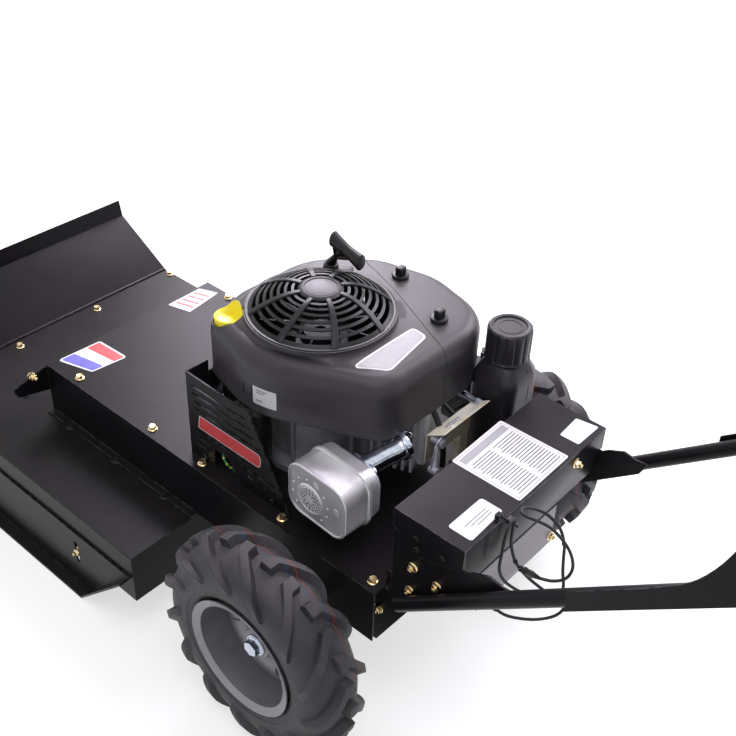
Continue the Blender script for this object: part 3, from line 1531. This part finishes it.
def idler_contact():
    """Middle of the idler when it bears on the belt's back, part of the way to the spindle."""
    out = belt_normal()
    along = Vector((out.y, -out.x, 0))
    start = Vector((0, y_at(crank_station), 0))
    return start + out * (crank_pulley_radius + belt_proud + idler_radius + 2 * gap) + along * 0.210


def idler_pivot():
    return idler_contact() + Vector((0.036, -0.065, 0))


def idler_place():
    """Middle of the idler at rest: swung off the belt, as it is until the blade lever is squeezed."""
    arm = idler_contact() - idler_pivot()
    return idler_pivot() + Matrix.Rotation(-idler_swing, 3, 'Z') @ arm


def idler_arm():
    """Tension arm of the blade belt on a post from the deck."""
    a, b = idler_pivot(), idler_place()
    z = blade_belt_z - 0.018
    facing = atan2(b.y - a.y, b.x - a.x)
    span = (b - a).length
    outline = [(p[0], p[1]) for p in arc((0, 0), 0.012, 90, 270, 8)]
    outline += [(p[0], p[1]) for p in arc((span, 0), 0.010, -90, 90, 8)]
    arm = plate("idler_arm", outline, 'Z', z - 0.004, 0.004, dark_steel())
    post = rod("arm_post", (0, 0, deck_top + gap), 'Z', z - deck_top - gap - 0.001, 0.010, dark_steel())
    stud = rod("arm_stud", (span, 0, z - 0.002), 'Z', 0.034, 0.005, dark_steel(), 16)
    weld(arm, post, stud)
    bpy.context.view_layer.update()
    turn = Matrix.Translation((a.x, a.y, 0)) @ Matrix.Rotation(facing, 4, 'Z')
    for obj in [arm] + [m.object for m in arm.modifiers]:
        obj.matrix_world = turn @ obj.matrix_world
    return arm


def idler_pulley():
    """Flat idler on the arm's stud, touching the back of the belt."""
    at = idler_place()
    r = idler_radius
    profile = [(0.005 + gap, blade_belt_z + 0.009), (r, blade_belt_z + 0.009), (r, blade_belt_z + 0.007),
               (r - 0.002, blade_belt_z + 0.005), (r - 0.002, blade_belt_z - 0.005),
               (r, blade_belt_z - 0.007), (r, blade_belt_z - 0.009), (0.005 + gap, blade_belt_z - 0.009)]
    return turned("idler_pulley", profile, (at.x, at.y, 0), 'Z', dark_steel())


lead_route = [
    (0.100, 0.2655, 0.300), (0.100, 0.276, 0.300), (0.092, 0.300, 0.291), (0.066, 0.330, 0.284),
    (0.040, 0.352, 0.2865), (0.0272, 0.3605, 0.301), (0.0325, 0.353, 0.319), (0.050, 0.334, 0.341),
    (0.070, 0.309, 0.372), (0.084, 0.294, 0.404), (0.0905, 0.286, 0.439), (0.0915, 0.285, 0.465),
    (0.0915, 0.2852, 0.4865), (0.0957, 0.2865, 0.4968), (0.106, 0.289, 0.501), (0.1163, 0.291, 0.4968),
    (0.1205, 0.2915, 0.4865), (0.122, 0.291, 0.468), (0.122, 0.290, 0.443), (0.120, 0.289, 0.411),
    (0.112, 0.294, 0.386), (0.098, 0.306, 0.365), (0.078, 0.324, 0.346), (0.056, 0.345, 0.3375),
    (0.038, 0.3555, 0.3365), (0.0265, 0.3525, 0.347), (0.0225, 0.345, 0.370), (0.022, 0.341, 0.400),
    (0.025, 0.339, 0.430), (0.033, 0.331, 0.463), (0.045, 0.3155, 0.487), (0.058, 0.3035, 0.500),
    (0.071, 0.2945, 0.5075), (0.0825, 0.2905, 0.512), (0.092, 0.295, 0.5145), (0.0945, 0.3045, 0.5145),
    (0.0895, 0.314, 0.511), (0.0795, 0.323, 0.503), (0.067, 0.332, 0.490), (0.054, 0.343, 0.470),
    (0.043, 0.3555, 0.445), (0.037, 0.3635, 0.420), (0.0365, 0.3655, 0.3985), (0.044, 0.3605, 0.383),
    (0.0565, 0.347, 0.3785), (0.069, 0.332, 0.383)]
plug_tip = (0.0905, 0.3055, 0.4035)
lead_peg = (0.102, 0.300, 0.4943)
peg_radius = 0.0018


def smooth_route(points, count):
    """Even points along one smooth curve through the route's own points."""
    ends = [2 * Vector(points[0]) - Vector(points[1])]
    knots = ends + [Vector(p) for p in points] + [2 * Vector(points[-1]) - Vector(points[-2])]
    fine = []
    for a, b, c, d in zip(knots, knots[1:], knots[2:], knots[3:]):
        for k in range(12):
            t = k / 12
            fine.append(0.5 * (2 * b + (c - a) * t + (2 * a - 5 * b + 4 * c - d) * t * t
                               + (3 * b - a - 3 * c + d) * t ** 3))
    fine.append(knots[-2])
    run = [0.0]
    for a, b in zip(fine, fine[1:]):
        run.append(run[-1] + (b - a).length)
    out = []
    i = 0
    for k in range(count):
        want = run[-1] * k / (count - 1)
        while i < len(run) - 2 and run[i + 1] < want:
            i += 1
        share = (want - run[i]) / (run[i + 1] - run[i])
        out.append(fine[i].lerp(fine[i + 1], share))
    return out


def self_gap(chain):
    """Least gap between two turns of the lead, by its points and the middles between them."""
    fine = []
    for a, b in zip(chain, chain[1:]):
        fine += [a, a.lerp(b, 0.25), a.lerp(b, 0.5), a.lerp(b, 0.75)]
    apart = int(8 * lead_radius / (fine[1] - fine[0]).length)
    least = 1.0
    for i, here in enumerate(fine):
        for there in fine[i + apart:]:
            least = min(least, (here - there).length)
    return least - 2 * lead_radius


def charging_lead():
    """Battery charging lead: hangs in loops from the box's rear edge, its plug left free."""
    points = [(x, y_at(a), z) for x, a, z in lead_route]
    chain = smooth_route(points, 72)
    length = sum((b - a).length for a, b in zip(chain, chain[1:]))
    print("charging lead", round(length, 3), "m, least gap to itself",
          round(self_gap(chain) * 1000, 2), "mm")
    return tube("charging_lead", chain, lead_radius, rubber(), 1)


def charging_plug():
    """Barrel plug on the lead's end."""
    x, a, z = lead_route[-1]
    start = Vector((x, y_at(a), z))
    tip = Vector((plug_tip[0], y_at(plug_tip[1]), plug_tip[2]))
    along = (tip - start).normalized()
    length = (tip - start).length
    profile = [(0, length), (0.0028, length), (0.0028, length * 0.72), (0.0048, length * 0.70),
               (0.0048, length * 0.28), (0.0032, 2 * gap), (0, 2 * gap)]
    plug = turned("charging_plug", profile, (0, 0, 0), 'Z', rubber(), 16)
    turn = Vector((0, 0, 1)).rotation_difference(along).to_matrix().to_4x4()
    plug.matrix_world = Matrix.Translation(start) @ turn
    return plug


def build():
    clear_scene()
    deck_shell()
    front_shield()
    engine_platform()
    for side in (1, -1):
        skid(side)
        frame_rail(side)
        axle_shaft(side)
        wheel_rim(side)
        tyre(side)
        handle_tube(side)
        hand_grip(side)
        hand_lever(side)
        lever_clamp(side)
    spindle_housing()
    blade_spindle()
    cutting_blade()
    crankshaft()
    blade_belt()
    drive_belt()
    transaxle_pulley()
    transaxle()
    crankcase()
    cylinder_block()
    muffler()
    exhaust_pipe()
    control_bracket()
    carburettor()
    starter_motor()
    oil_fill_tube()
    oil_cap()
    blower_housing()
    air_cleaner_cover()
    cover_knob(0)
    cover_knob(1)
    fan_grille()
    flywheel_fan()
    recoil_grip()
    fuel_tank()
    fuel_cap()
    fuel_hose()
    slotted_guard()
    battery_box()
    battery()
    cross_plate()
    console()
    key_switch()
    panel_lever("throttle_lever", 0.060, black_plastic())
    panel_lever("gear_lever", -0.060, black_plastic())
    idler_arm()
    idler_pulley()
    charging_lead()
    charging_plug()


build()
